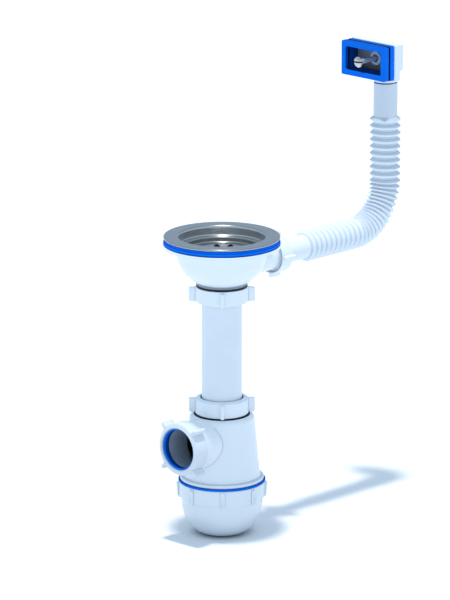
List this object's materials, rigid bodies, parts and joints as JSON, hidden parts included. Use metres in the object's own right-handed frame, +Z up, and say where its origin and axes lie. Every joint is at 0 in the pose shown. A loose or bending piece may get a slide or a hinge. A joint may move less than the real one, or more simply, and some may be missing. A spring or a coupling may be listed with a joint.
{
  "type": "sink trap",
  "caption": "Kitchen sink bottle trap with a stainless strainer, a white bottle body and cup, blue seals and a corrugated overflow hose.",
  "frame": {"origin": "on the drain axis, in the plane where the strainer's rim rests on the sink", "axes": "+Z up along the drain axis, +X along the overflow branch, -X along the outlet; the overflow head stands at +Y of the hose"},
  "size_m": [0.3207, 0.117, 0.4598],
  "materials": {
    "white_plastic": "satin moulded",
    "hose_plastic": "soft blow-moulded",
    "blue_seal": "smooth, satin",
    "stainless": "polished pressed sheet",
    "screw_steel": "bright",
    "brass_insert": "turned"
  },
  "bodies": {
    "outlet": {"outlet_bowl": "white_plastic", "strainer": "stainless", "strainer_screw": "screw_steel", "sink_gasket": "blue_seal", "bowl_insert": "brass_insert"},
    "upper_seal": {"upper_seal": "blue_seal"},
    "upper_nut": {"upper_nut": "white_plastic"},
    "pipe": {"down_pipe": "white_plastic"},
    "bottle": {"bottle_body": "white_plastic"},
    "lower_seal": {"lower_seal": "blue_seal"},
    "lower_nut": {"lower_nut": "white_plastic"},
    "outlet_seal": {"outlet_seal": "blue_seal"},
    "outlet_nut": {"outlet_nut": "white_plastic"},
    "cup_seal": {"cup_seal": "blue_seal"},
    "cup": {"bottle_cup": "white_plastic"},
    "overflow_seal": {"overflow_seal": "blue_seal"},
    "overflow_nut": {"overflow_nut": "white_plastic"},
    "hose": {"overflow_hose": "hose_plastic"},
    "head": {"overflow_elbow": "white_plastic", "overflow_gasket": "blue_seal", "elbow_insert": "brass_insert", "overflow_screw": "screw_steel"}
  },
  "joints": [
    {"name": "upper_thread", "type": "slide", "parent": "outlet", "child": "upper_seal", "axis": [0, 0, -1], "range_m": [0, 0.0121]},
    {"name": "upper_nut_turn", "type": "hinge", "parent": "upper_seal", "child": "upper_nut", "pos_m": [0, 0, -0.057], "axis": [0, 0, -1], "range_deg": [0, 1440]},
    {"name": "pipe_swivel", "type": "hinge", "parent": "outlet", "child": "pipe", "pos_m": [0, 0, -0.057], "axis": [0, 0, 1], "continuous": true},
    {"name": "bottle_height", "type": "slide", "parent": "pipe", "child": "bottle", "axis": [0, 0, 1], "range_m": [-0.045, 0.015]},
    {"name": "lower_thread", "type": "slide", "parent": "bottle", "child": "lower_seal", "axis": [0, 0, 1], "range_m": [0, 0.0121]},
    {"name": "lower_nut_turn", "type": "hinge", "parent": "lower_seal", "child": "lower_nut", "pos_m": [0, 0, -0.17], "axis": [0, 0, 1], "range_deg": [0, 1440]},
    {"name": "outlet_thread", "type": "slide", "parent": "bottle", "child": "outlet_seal", "axis": [-1, 0, 0], "range_m": [0, 0.0121]},
    {"name": "outlet_nut_turn", "type": "hinge", "parent": "outlet_seal", "child": "outlet_nut", "pos_m": [-0.055, 0, -0.204], "axis": [-1, 0, 0], "range_deg": [0, 1440]},
    {"name": "cup_thread", "type": "slide", "parent": "bottle", "child": "cup_seal", "axis": [0, 0, -1], "range_m": [0, 0.0121]},
    {"name": "cup_turn", "type": "hinge", "parent": "cup_seal", "child": "cup", "pos_m": [0, 0, -0.25], "axis": [0, 0, -1], "range_deg": [0, 1440]},
    {"name": "overflow_thread", "type": "slide", "parent": "outlet", "child": "overflow_seal", "axis": [1, 0, 0], "range_m": [0, 0.0121]},
    {"name": "overflow_nut_turn", "type": "hinge", "parent": "overflow_seal", "child": "overflow_nut", "pos_m": [0.076, 0, -0.0304], "axis": [1, 0, 0], "range_deg": [0, 1440]},
    {"name": "hose_swing", "type": "hinge", "parent": "outlet", "child": "hose", "pos_m": [0.076, 0, -0.0304], "axis": [1, 0, 0], "range_deg": [-90, 90]},
    {"name": "head_swivel", "type": "hinge", "parent": "hose", "child": "head", "pos_m": [0.2374, 0, 0.11], "axis": [0, 0, 1], "range_deg": [-90, 90]}
  ],
  "couplings": [
    {"joint": "upper_thread", "follows": "upper_nut_turn", "m_per_rad": 0.00047746},
    {"joint": "lower_thread", "follows": "lower_nut_turn", "m_per_rad": 0.00047746},
    {"joint": "outlet_thread", "follows": "outlet_nut_turn", "m_per_rad": 0.00047746},
    {"joint": "cup_thread", "follows": "cup_turn", "m_per_rad": 0.00047746},
    {"joint": "overflow_thread", "follows": "overflow_nut_turn", "m_per_rad": 0.00047746}
  ]
}
